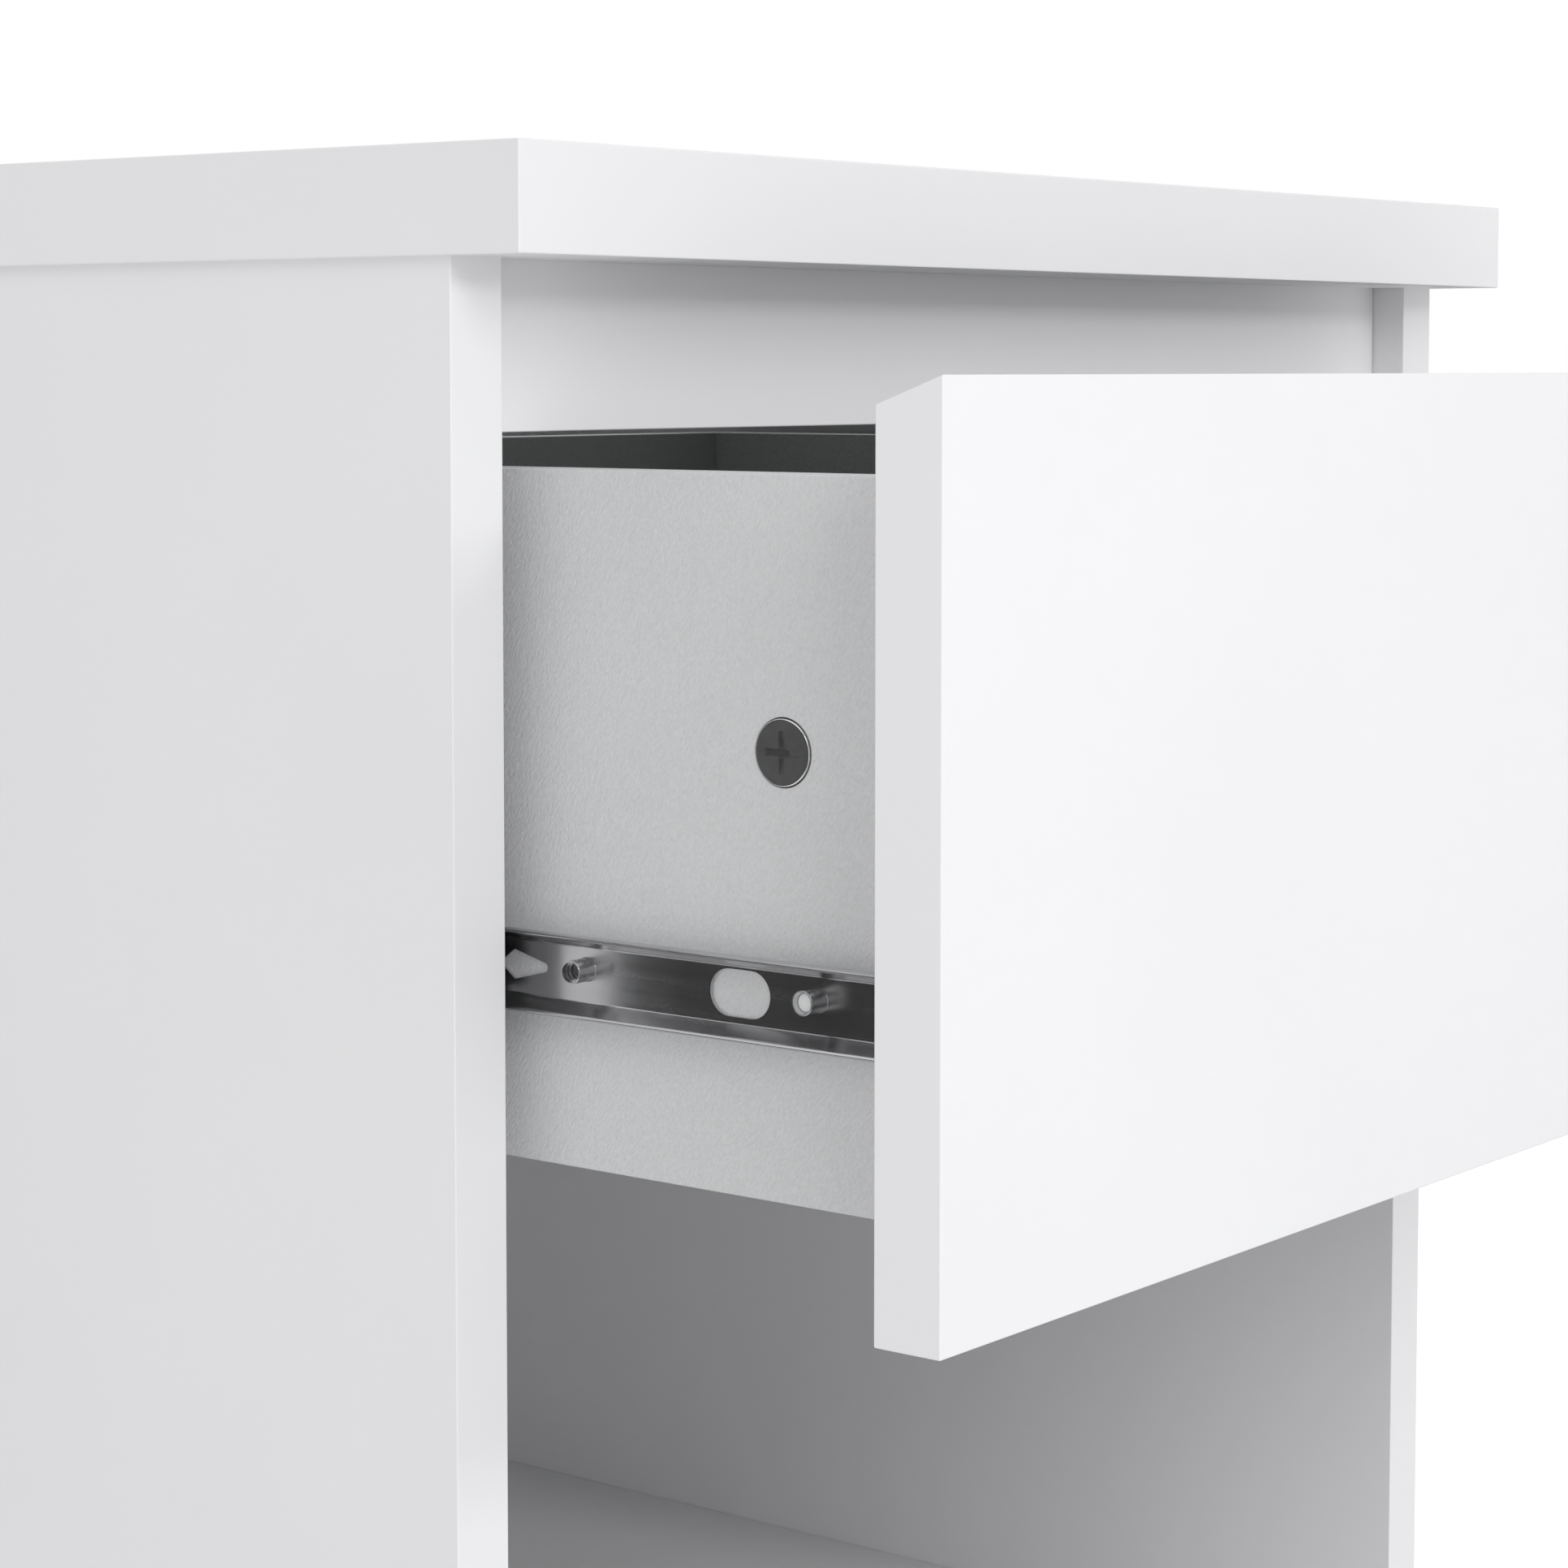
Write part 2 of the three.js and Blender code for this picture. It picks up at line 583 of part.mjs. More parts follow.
for (const [side, s] of sides) {
  const board = block([s * boxHalf, s * boxInner], [boxFront, boxBack], [DRAWER.sideBottom, DRAWER.sideTop]);
  const slot = block([s * (boxInner - 1), s * (bottomHalf + GAP)], [boxFront - 1, boxBack + 1], bottomSlot);
  const screwSeats = Object.values(backScrewZs).map((z) =>
    screwHole(backScrewLength, true, backScrewFrame(s, z)),
  );
  const pinBore = rod(COLLAR.bore, -pinLength, 1, slideFrame(s, COLLAR.ys[1], COLLAR.w));
  addMesh(
    `drawer_${side}_side`,
    cut(board, [
      slot,
      ...screwSeats,
      pinBore,
      screwHole(memberScrewLength, false, memberScrewFrame(s)),
      camPocket(DRAWER_CAM, drawerCamFrame(s)),
    ]),
    "drawerSide",
  );
  addMesh(`drawer_${side}_cam`, camHousing(DRAWER_CAM, drawerCamFrame(s), DRAWER_CAM.proud), "zinc");
  addMesh(`drawer_${side}_cam_bolt`, camBolt(DRAWER_CAM, drawerCamFrame(s)), "steel");
  for (const [height, z] of Object.entries(backScrewZs)) {
    addMesh(
      `drawer_back_screw_${height}_${side}`,
      woodScrew(backScrewLength, true, backScrewFrame(s, z)),
      "steel",
    );
  }
  addMesh(`${side}_drawer_slide_screw`, woodScrew(memberScrewLength, false, memberScrewFrame(s)), "steel");
  const pinTop = GAP + SLIDE.sheet + COLLAR.height - 1.2;
  const pin = rod(
    COLLAR.bore - CLEARANCE / 2,
    -pinLength + CLEARANCE,
    pinTop,
    slideFrame(s, COLLAR.ys[1], COLLAR.w),
  );
  addMesh(`${side}_drawer_slide_pin`, pin, "nylon");
}

// ---------------------------------------------------------------- the whole
const cabinet = new THREE.Group();
unit.position.y = -(frontFace + TOP.depth) / 2;
cabinet.add(unit);

export default cabinet;
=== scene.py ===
"""A white under-desk drawer cabinet with its drawer drawn out, on a plain studio floor.

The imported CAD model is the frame. Each piece is built here in millimetres from its CAD node's box,
scaled to metres, and rides on that node's body. Slide sections are drawn in U and W: U runs from the
drawer's side towards the cabinet's side, and W is the height over the slide's middle.
"""
import math

import bmesh
import bpy
from mathutils import Matrix, Vector


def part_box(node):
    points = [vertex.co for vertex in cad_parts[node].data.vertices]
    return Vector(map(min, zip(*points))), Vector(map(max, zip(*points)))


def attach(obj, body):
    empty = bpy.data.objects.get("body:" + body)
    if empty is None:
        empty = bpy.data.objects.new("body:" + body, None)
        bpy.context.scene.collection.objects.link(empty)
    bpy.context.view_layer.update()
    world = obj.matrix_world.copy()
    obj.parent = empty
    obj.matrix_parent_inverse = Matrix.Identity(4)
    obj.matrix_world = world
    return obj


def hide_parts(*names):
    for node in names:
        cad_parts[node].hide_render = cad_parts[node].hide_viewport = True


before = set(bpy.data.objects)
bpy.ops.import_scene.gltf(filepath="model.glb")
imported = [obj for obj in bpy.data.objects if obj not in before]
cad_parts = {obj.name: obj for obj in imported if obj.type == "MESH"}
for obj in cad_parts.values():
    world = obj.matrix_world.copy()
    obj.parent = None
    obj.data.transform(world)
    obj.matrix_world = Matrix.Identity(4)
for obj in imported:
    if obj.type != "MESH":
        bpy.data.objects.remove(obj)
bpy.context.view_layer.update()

MM = 0.001
SIDES = (("left", -1), ("right", 1))
ENDS = ("front", "rear")


# ------------------------------------------------------------------ boxes of the CAD nodes, in mm
def node_box(node):
    lo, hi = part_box(node)
    return lo / MM, hi / MM


# ------------------------------------------------------------------ mesh helpers
def object_from(name, bm):
    bmesh.ops.recalc_face_normals(bm, faces=bm.faces)
    mesh = bpy.data.meshes.new(name)
    bm.to_mesh(mesh)
    bm.free()
    piece = bpy.data.objects.new(name, mesh)
    bpy.context.scene.collection.objects.link(piece)
    return piece


def apply_modifiers(piece):
    graph = bpy.context.evaluated_depsgraph_get()
    mesh = bpy.data.meshes.new_from_object(piece.evaluated_get(graph))
    piece.modifiers.clear()
    piece.data = mesh


def combine(piece, tools, operation="DIFFERENCE"):
    """Cuts the tools from the piece, or joins them to it, and removes them."""
    for tool in tools:
        modifier = piece.modifiers.new(operation.title(), "BOOLEAN")
        modifier.object = tool
        modifier.operation = operation
        modifier.solver = "EXACT"
    apply_modifiers(piece)
    for tool in tools:
        bpy.data.objects.remove(tool)


def box_mesh(lo, hi):
    bm = bmesh.new()
    bmesh.ops.create_cube(bm, size=1)
    size = Vector(hi) - Vector(lo)
    middle = (Vector(hi) + Vector(lo)) / 2
    bmesh.ops.transform(bm, verts=bm.verts, matrix=Matrix.Translation(middle) @ Matrix.Diagonal((*size, 1)))
    return bm


def box_tool(lo, hi):
    lo, hi = zip(*[sorted(pair) for pair in zip(lo, hi)])
    return object_from("tool", box_mesh(lo, hi))


def axes_at(point, out, run):
    """A frame with local Z along out and local Y along run."""
    z, y = Vector(out), Vector(run)
    x = y.cross(z)
    turned = Matrix((x, y, z)).transposed().to_4x4()
    return Matrix.Translation(Vector(point)) @ turned


def turned_mesh(profile, place, steps=48):
    """A solid of revolution about local Z. The profile is (radius, z), closed on the axis at both ends
    or closed on itself."""
    bm = bmesh.new()
    rings = []
    for radius, z in profile:
        if radius < 1e-6:
            rings.append([bm.verts.new((0, 0, z))])
            continue
        angles = [2 * math.pi * i / steps for i in range(steps)]
        rings.append([bm.verts.new((radius * math.cos(a), radius * math.sin(a), z)) for a in angles])
    closed = profile[0][0] > 1e-6
    pairs = list(zip(rings, rings[1:] + rings[:1])) if closed else list(zip(rings, rings[1:]))
    for low, high in pairs:
        for i in range(steps):
            j = (i + 1) % steps
            corners = [low[i % len(low)], low[j % len(low)], high[j % len(high)], high[i % len(high)]]
            bm.faces.new(list(dict.fromkeys(corners)))
    bmesh.ops.transform(bm, verts=bm.verts, matrix=place)
    return bm


def turned_tool(profile, place, steps=48):
    return object_from("tool", turned_mesh(profile, place, steps))


def rod_tool(radius, z0, z1, place, steps=48):
    return turned_tool([(0, z0), (radius, z0), (radius, z1), (0, z1)], place, steps)


def prism_mesh(outline, near, far, place):
    """A closed outline of (x, y) points, drawn out along local Z from near to far."""
    bm = bmesh.new()
    low = [bm.verts.new((x, y, near)) for x, y in outline]
    high = [bm.verts.new((x, y, far)) for x, y in outline]
    count = len(outline)
    bm.faces.new(low)
    bm.faces.new(high)
    for i in range(count):
        j = (i + 1) % count
        bm.faces.new([low[i], low[j], high[j], high[i]])
    bmesh.ops.transform(bm, verts=bm.verts, matrix=place)
    return bm


def arc(x, y, radius, start, end, steps):
    """Points on an arc, angles in degrees."""
    angles = [math.radians(start + (end - start) * i / steps) for i in range(steps + 1)]
    return [(x + radius * math.cos(a), y + radius * math.sin(a)) for a in angles]


SHARP_ANGLE = math.radians(32)


def dress(piece, body, material, replaced=(), weighted=True):
    """Scales a finished piece to metres, smooths it up to its sharp edges, and rides it on its body."""
    mesh = piece.data
    mesh.transform(Matrix.Scale(MM, 4))
    bm = bmesh.new()
    bm.from_mesh(mesh)
    for face in bm.faces:
        face.smooth = True
    for edge in bm.edges:
        edge.smooth = len(edge.link_faces) == 2 and edge.calc_face_angle(0) < SHARP_ANGLE
    bm.to_mesh(mesh)
    bm.free()
    if weighted:
        modifier = piece.modifiers.new("Normals", "WEIGHTED_NORMAL")
        modifier.keep_sharp = True
        apply_modifiers(piece)
    if material:
        piece.data.materials.clear()
        piece.data.materials.append(material)
    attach(piece, body)
    if replaced:
        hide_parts(*replaced)
    return piece


# ------------------------------------------------------------------ materials
class Looks:
    """Node building for one material."""

    def __init__(self, name):
        self.material = bpy.data.materials.new(name)
        self.material.use_nodes = True
        self.tree = self.material.node_tree
        self.shader = self.tree.nodes["Principled BSDF"]
        self.where = self.add("ShaderNodeTexCoord").outputs["Object"]

    def add(self, kind, **settings):
        node = self.tree.nodes.new(kind)
        for key, value in settings.items():
            setattr(node, key, value)
        return node

    def link(self, source, target):
        self.tree.links.new(source, target)

    def stretched(self, scale):
        mapping = self.add("ShaderNodeMapping")
        mapping.inputs["Scale"].default_value = scale
        self.link(self.where, mapping.inputs["Vector"])
        return mapping.outputs["Vector"]

    def noise(self, scale, detail=3.0, roughness=0.5, vector=None):
        node = self.add("ShaderNodeTexNoise")
        node.inputs["Scale"].default_value = scale
        node.inputs["Detail"].default_value = detail
        node.inputs["Roughness"].default_value = roughness
        self.link(vector or self.where, node.inputs["Vector"])
        return node.outputs["Fac"]

    def cells(self, scale, vector=None, feature="F1"):
        node = self.add("ShaderNodeTexVoronoi", feature=feature)
        node.inputs["Scale"].default_value = scale
        self.link(vector or self.where, node.inputs["Vector"])
        return node.outputs["Distance"]

    def spread(self, source, low, high, start=0.3, stop=0.7):
        node = self.add("ShaderNodeMapRange")
        node.inputs["From Min"].default_value = start
        node.inputs["From Max"].default_value = stop
        node.inputs["To Min"].default_value = low
        node.inputs["To Max"].default_value = high
        self.link(source, node.inputs["Value"])
        return node.outputs["Result"]

    def blend(self, source, dark, light, start=0.3, stop=0.7):
        ramp = self.add("ShaderNodeValToRGB")
        ramp.color_ramp.elements[0].position = start
        ramp.color_ramp.elements[0].color = (*dark, 1)
        ramp.color_ramp.elements[1].position = stop
        ramp.color_ramp.elements[1].color = (*light, 1)
        self.link(source, ramp.inputs["Fac"])
        return ramp.outputs["Color"]

    def sum(self, first, second, operation="ADD"):
        node = self.add("ShaderNodeMath", operation=operation)
        self.link(first, node.inputs[0])
        if isinstance(second, (int, float)):
            node.inputs[1].default_value = second
        else:
            self.link(second, node.inputs[1])
        return node.outputs["Value"]

    def bump(self, height, strength, distance):
        node = self.add("ShaderNodeBump")
        node.inputs["Strength"].default_value = strength
        node.inputs["Distance"].default_value = distance
        self.link(height, node.inputs["Height"])
        self.link(node.outputs["Normal"], self.shader.inputs["Normal"])

    def set(self, **values):
        for key, value in values.items():
            self.shader.inputs[key.replace("_", " ")].default_value = value

    def colour(self, output):
        self.link(output, self.shader.inputs["Base Color"])

    def roughness(self, output):
        self.link(output, self.shader.inputs["Roughness"])


def melamine():
    """Satin white melamine: a faint cloudiness and the pearly micro texture of the press plate."""
    look = Looks("white_melamine")
    look.colour(look.blend(look.noise(9, 4), (0.845, 0.845, 0.862), (0.87, 0.87, 0.885)))
    look.roughness(look.spread(look.noise(420, 3, 0.6), 0.36, 0.5))
    look.bump(look.noise(1500, 2, 0.6), 0.08, 0.00006)
    look.set(IOR=1.5)
    return look.material


def grained_foil(name, dark, light):
    """Finishing foil with a fine leather-like grain that runs on a slant."""
    look = Looks(name)
    slanted = look.add("ShaderNodeMapping", vector_type="TEXTURE")
    slanted.inputs["Rotation"].default_value = (math.radians(30), 0, 0)
    slanted.inputs["Scale"].default_value = (1.0, 1.0, 2.4)
    look.link(look.where, slanted.inputs["Vector"])
    vector = slanted.outputs["Vector"]
    creases = look.cells(1900, vector, "SMOOTH_F1")
    pores = look.noise(2900, 2, 0.6, vector)
    height = look.sum(creases, look.sum(pores, 1.2, "MULTIPLY"))
    shade = look.sum(look.sum(look.noise(14, 3), 0.25, "MULTIPLY"), look.sum(pores, 0.75, "MULTIPLY"))
    look.colour(look.blend(shade, dark, light, 0.35, 0.62))
    look.roughness(look.spread(pores, 0.5, 0.68))
    look.bump(height, 0.9, 0.00012)
    return look.material


def hardboard():
    """Thin white-lacquered hardboard with the faint fibres showing through."""
    look = Looks("lacquered_hardboard")
    fibres = look.noise(600, 4, 0.7, look.stretched((1, 0.4, 0.4)))
    look.colour(look.blend(fibres, (0.66, 0.66, 0.655), (0.74, 0.74, 0.735)))
    look.roughness(look.spread(look.noise(90, 4), 0.5, 0.72))
    look.bump(fibres, 0.25, 0.0001)
    return look.material


def rolled_steel():
    """Bright zinc-plated strip: roll lines along its length, a little cloudiness."""
    look = Looks("rolled_steel")
    lines = look.noise(900, 3, 0.6, look.stretched((1, 0.012, 1)))
    clouds = look.noise(45, 3, 0.55)
    look.colour(look.blend(clouds, (0.50, 0.50, 0.51), (0.58, 0.58, 0.59)))
    look.roughness(look.sum(look.spread(lines, 0.2, 0.25), look.spread(clouds, 0.0, 0.04)))
    look.bump(lines, 0.012, 0.00003)
    look.set(Metallic=1.0)
    return look.material


def plated(name, dark, light, smooth, rough, metallic=1.0):
    """A small plated fastener, with the plating's clouds and handling marks."""
    look = Looks(name)
    look.colour(look.blend(look.noise(260, 3), dark, light))
    look.roughness(look.spread(look.noise(700, 4, 0.65), smooth, rough))
    look.bump(look.noise(1800, 3, 0.6), 0.1, 0.00004)
    look.set(Metallic=metallic)
    return look.material


def nylon():
    look = Looks("white_nylon")
    look.colour(look.blend(look.noise(120, 3), (0.76, 0.76, 0.75), (0.82, 0.82, 0.81)))
    look.roughness(look.spread(look.noise(500, 3), 0.4, 0.55))
    look.bump(look.noise(1600, 2), 0.08, 0.00005)
    look.set(IOR=1.53, Subsurface_Weight=0.05)
    return look.material


WHITE = melamine()
GREY_FOIL = grained_foil("light_grey_foil", (0.54, 0.545, 0.552), (0.63, 0.635, 0.642))
DARK_FOIL = grained_foil("anthracite_foil", (0.05, 0.054, 0.0525), (0.068, 0.073, 0.071))
HARDBOARD = hardboard()
STEEL = rolled_steel()
FASTENER = plated("zinc_plated_steel", (0.5, 0.5, 0.51), (0.62, 0.62, 0.63), 0.2, 0.34)
DARK_ZINC = plated("dark_nickel_plate", (0.225, 0.225, 0.227), (0.265, 0.265, 0.267), 0.3, 0.42, 0.85)
BRIGHT_RIM = plated("bright_nickel_rim", (0.72, 0.72, 0.73), (0.8, 0.8, 0.8), 0.08, 0.15)
BALL_STEEL = plated("ball_steel", (0.62, 0.62, 0.63), (0.7, 0.7, 0.7), 0.05, 0.1)
NYLON = nylon()


# ------------------------------------------------------------------ camera, light and floor
FIRST_TOP, LAST_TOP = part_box("top_panel")
CORNER = Vector((FIRST_TOP.x, FIRST_TOP.y, LAST_TOP.z))
CAMERA_FROM_CORNER = Vector((-0.53123, -0.48055, -0.04359))
CAMERA_YAW = 38.07
CAMERA_PITCH = -4.02
CAMERA_SHIFT = -0.1002
CAMERA_LENS = 85.21

VIEW_GAMMA = 1.25
SKY = 0.7  # what the world lights with
REFLECTED_DARK = 0.023  # what shows in steel around the horizon,
REFLECTED_LIGHT = 1.1  # above and below,
REFLECTED_FRONT = 0.6  # and in front
STEEP = (0.5, 0.85)  # the height of a direction at which "above" starts and is full
FORWARD = (-0.5, -0.8)  # the same for "in front", along Y

# Softboxes: place and target, width and height in metres, power in watts
KEY = ((0.40, -2.5, 1.17), (-0.19, -0.13, 0.44), 0.35, 0.35, 9.5)
FRONT_LEFT = ((-1.26, -2.27, 1.84), (-0.1, -0.1, 0.3), 1.2, 1.2, 21)
DRAWER_FILL = ((0, 0, 0.464), (0, 0, 0.3), 0.3, 0.2, 0.19)

FLOOR_GLOW = 0.42
FLOOR_HALF = 12
FLOOR_DROP = 0.0002


def add_camera():
    data = bpy.data.cameras.new("camera")
    data.lens = CAMERA_LENS
    data.sensor_width = 36
    data.shift_y = CAMERA_SHIFT
    camera = bpy.data.objects.new("camera", data)
    camera.location = CORNER + CAMERA_FROM_CORNER
    camera.rotation_euler = (math.radians(90 + CAMERA_PITCH), 0, math.radians(CAMERA_YAW - 90))
    bpy.context.scene.collection.objects.link(camera)
    bpy.context.scene.camera = camera


def add_softbox(name, place, target, width, height, power):
    data = bpy.data.lights.new(name, "AREA")
    data.shape = "RECTANGLE"
    data.size = width
    data.size_y = height
    data.energy = power
    light = bpy.data.objects.new(name, data)
    light.location = place
    direction = Vector(target) - Vector(place)
    light.rotation_euler = direction.to_track_quat("-Z", "Y").to_euler()
    light.visible_camera = False
    bpy.context.scene.collection.objects.link(light)
    return light


def add_world():
    """Even white light. Reflections see a studio that is bright above, below and in front, and dark
    around the horizon, which is what gives bare steel its contrast."""
    world = bpy.data.worlds.new("studio")
    world.use_nodes = True
    tree = world.node_tree
    background = tree.nodes["Background"]

    def node(kind, **settings):
        made = tree.nodes.new(kind)
        for key, value in settings.items():
            setattr(made, key, value)
        return made

    def ramp(source, start, stop, low, high):
        made = node("ShaderNodeMapRange", interpolation_type="SMOOTHSTEP")
        for key, value in (("From Min", start), ("From Max", stop), ("To Min", low), ("To Max", high)):
            made.inputs[key].default_value = value
        tree.links.new(source, made.inputs["Value"])
        return made.outputs["Result"]

    axes = node("ShaderNodeSeparateXYZ")
    tree.links.new(node("ShaderNodeTexCoord").outputs["Generated"], axes.inputs["Vector"])
    height = node("ShaderNodeMath", operation="ABSOLUTE")
    tree.links.new(axes.outputs["Z"], height.inputs[0])
    brightest = node("ShaderNodeMath", operation="MAXIMUM")
    steep = ramp(height.outputs["Value"], *STEEP, REFLECTED_DARK, REFLECTED_LIGHT)
    tree.links.new(steep, brightest.inputs[0])
    forward = ramp(axes.outputs["Y"], *FORWARD, REFLECTED_DARK, REFLECTED_FRONT)
    tree.links.new(forward, brightest.inputs[1])
    path = node("ShaderNodeLightPath")
    reflected = node("ShaderNodeMix")
    tree.links.new(path.outputs["Is Glossy Ray"], reflected.inputs["Factor"])
    reflected.inputs["A"].default_value = SKY
    tree.links.new(brightest.outputs["Value"], reflected.inputs["B"])
    seen = node("ShaderNodeMix")
    tree.links.new(path.outputs["Is Camera Ray"], seen.inputs["Factor"])
    tree.links.new(reflected.outputs["Result"], seen.inputs["A"])
    seen.inputs["B"].default_value = 1.0
    tree.links.new(seen.outputs["Result"], background.inputs["Strength"])
    background.inputs["Color"].default_value = (1, 1, 1, 1)
    bpy.context.scene.world = world
    bpy.context.scene.view_settings.view_transform = "Standard"
    bpy.context.scene.view_settings.gamma = VIEW_GAMMA


def add_floor():
    look = Looks("studio_floor")
    look.colour(look.blend(look.noise(2.5, 3), (0.86, 0.86, 0.865), (0.88, 0.88, 0.885)))
    look.roughness(look.spread(look.noise(60, 3), 0.6, 0.75))
    glow = look.sum(look.add("ShaderNodeLightPath").outputs["Is Camera Ray"], FLOOR_GLOW, "MULTIPLY")
    look.set(Emission_Color=(1, 1, 1, 1))
    look.link(glow, look.shader.inputs["Emission Strength"])
    bm = bmesh.new()
    bmesh.ops.create_grid(bm, x_segments=2, y_segments=2, size=FLOOR_HALF)
    floor = object_from("floor", bm)
    floor.location.z = -FLOOR_DROP
    floor.visible_glossy = False
    floor.data.materials.append(look.material)


add_camera()
add_world()
add_softbox("key", *KEY)
add_softbox("front_left", *FRONT_LEFT)
add_floor()


# ------------------------------------------------------------------ boards
EDGE = 0.35  # the rounding of a board's edges, mm
THIN_EDGE = 0.15  # the same for hardboard
BOARD_GAP = 0.2
CAM_CLEARANCE = 0.3
SEAT_RADIUS = 3.7
FACES_ALONG = 0.7  # the least part of a unit normal on an axis for a face to look along it
FRONT_BEVEL = 5.5  # how far the drawer front's top falls to the back


def board(node, body, material, tools=(), shape=None, edge=EDGE, under_top=False):
    """A board with rounded edges. One under the top panel reaches up to it and is square there."""
    lo, hi = node_box(node)
    if under_top:
        hi.z += BOARD_GAP
    bm = box_mesh(lo, hi)
    if shape:
        shape(bm, lo, hi)
    level = hi.z - 0.01 if under_top else math.inf
    rounded = [e for e in bm.edges if any(v.co.z < level for v in e.verts)]
    bmesh.ops.bevel(
        bm, geom=rounded, offset=edge, segments=3, profile=0.5, affect="EDGES", clamp_overlap=True
    )
    piece = object_from("fine_" + node, bm)
    if tools:
        combine(piece, tools)
    return dress(piece, body, material, [node])


def pocket(cam_node, out, depth_axis):
    """The round pocket a cam sits in. depth_axis is the index of the axis it is let in along."""
    lo, hi = node_box(cam_node)
    middle = (lo + hi) / 2
    radius = (hi - lo)[(depth_axis + 1) % 3] / 2 + CAM_CLEARANCE
    depth = (hi - lo)[depth_axis]
    run = Vector([1.0 if i == (depth_axis + 1) % 3 else 0.0 for i in range(3)])
    return rod_tool(radius, -depth / 2 - CAM_CLEARANCE, depth, axes_at(middle, out, run))


def back_groove(s):
    lo, hi = node_box("back_panel")
    x = hi.x if s > 0 else lo.x
    return box_tool((x + s * 0.2, lo.y - 0.2, lo.z - 20), (x - s * 40, hi.y + 0.2, hi.z + 20))


def build_carcass():
    board("top_panel", "cabinet", WHITE)
    board("plinth", "cabinet", WHITE)
    board("back_panel", "cabinet", HARDBOARD, edge=THIN_EDGE)
    for side, s in SIDES:
        tools = [pocket(f"top_{end}_{side}_cam", (-s, 0, 0), 0) for end in ENDS]
        tools.append(back_groove(s))
        board(f"{side}_side_panel", "cabinet", WHITE, tools, under_top=True)
    rail_tools = [pocket(f"rail_{side}_cam", (0, 1, 0), 1) for side, _ in SIDES]
    board("front_rail", "cabinet", WHITE, rail_tools, under_top=True)
    shelf_tools = [pocket(f"shelf_{end}_{side}_cam", (0, 0, -1), 2) for side, _ in SIDES for end in ENDS]
    board("bottom_shelf", "cabinet", WHITE, shelf_tools)


def fall_to_back(bm, lo, hi):
    for vert in bm.verts:
        if vert.co.y > (lo.y + hi.y) / 2 and vert.co.z > (lo.z + hi.z) / 2:
            vert.co.z -= FRONT_BEVEL


def bottom_groove(s):
    lo, hi = node_box("drawer_bottom")
    x = hi.x if s > 0 else lo.x
    return box_tool((x + s * 0.2, lo.y - 1, lo.z - 0.2), (x - s * 20, hi.y + 1, hi.z + 0.2))


def screw_place(node, s):
    """A frame on the middle of a screw's head, local Z out of it. s is the head's side."""
    lo, hi = node_box(node)
    middle = (lo + hi) / 2
    return axes_at((hi.x if s > 0 else lo.x, middle.y, middle.z), (s, 0, 0), (0, 0, 1))


def screw_seat(node, s):
    profile = [(0, -SEAT_RADIUS), (SEAT_RADIUS, 0), (SEAT_RADIUS, 1), (0, 1)]
    return turned_tool(profile, screw_place(node, s), 32)


def paint_inside(piece, s):
    """The faces of a drawer side that look into the drawer get the dark foil."""
    piece.data.materials.append(DARK_FOIL)
    for polygon in piece.data.polygons:
        if polygon.normal.x * -s > FACES_ALONG:
            polygon.material_index = 1


def build_drawer_boards():
    board("drawer_front", "drawer", WHITE, shape=fall_to_back)
    board("drawer_bottom", "drawer", DARK_FOIL, edge=THIN_EDGE)
    back = board("drawer_back", "drawer", GREY_FOIL)
    back.data.materials.append(DARK_FOIL)
    for polygon in back.data.polygons:
        if polygon.normal.y < -FACES_ALONG:
            polygon.material_index = 1
    for side, s in SIDES:
        tools = [pocket(f"drawer_{side}_cam", (s, 0, 0), 0), bottom_groove(s),
                 *[screw_seat(f"drawer_back_screw_{height}_{side}", s) for height in ("upper", "lower")]]
        paint_inside(board(f"drawer_{side}_side", "drawer", GREY_FOIL, tools), s)


def add_drawer_fill():
    """A weak light over the drawer that reaches only the boards of its inside."""
    light = add_softbox("drawer_fill", *DRAWER_FILL)
    light.visible_glossy = False
    lit = bpy.data.collections.new("drawer_inside")
    for name in ("left_side", "right_side", "back", "bottom"):
        lit.objects.link(bpy.data.objects["fine_drawer_" + name])
    light.light_linking.receiver_collection = lit


build_carcass()
build_drawer_boards()
add_drawer_fill()


# ------------------------------------------------------------------ slides
SHEET = 0.6
LIP = 0.08  # the rounding of the sheet's cut edge
SLIDE_HALF = 8.5
BEND = 1.0
BALL_RADIUS = 1.05
BALL_U = 4.6
BALL_COUNT = 9
STRIP_WIDTH = 1.2
STRIP_HEIGHT = 0.7
RACE_RADIUS = 1.8
RACE_W = SLIDE_HALF - SHEET / 2 - RACE_RADIUS
FLARE = 34.2  # the slope of the flanges where they leave the web, in degrees
WEB_GAP = 0.2
SLIDE_GAP = 9.5
INNER_HALF = 5.5
COLLAR_FROM_FRONT = (85.6, 27.1)
COLLAR_W = 1.1
COLLAR_RADIUS = 2.42
COLLAR_FLARE = 0.2
COLLAR_HEIGHT = 5.1
HOLE_W = 0.3
OBROUND = {"from_front": 46.2, "length": 14.9, "height": 9.4}
ARROW = {"tip": 96.1, "shoulder": 105.0, "neck": 108.0, "end": 110.7}


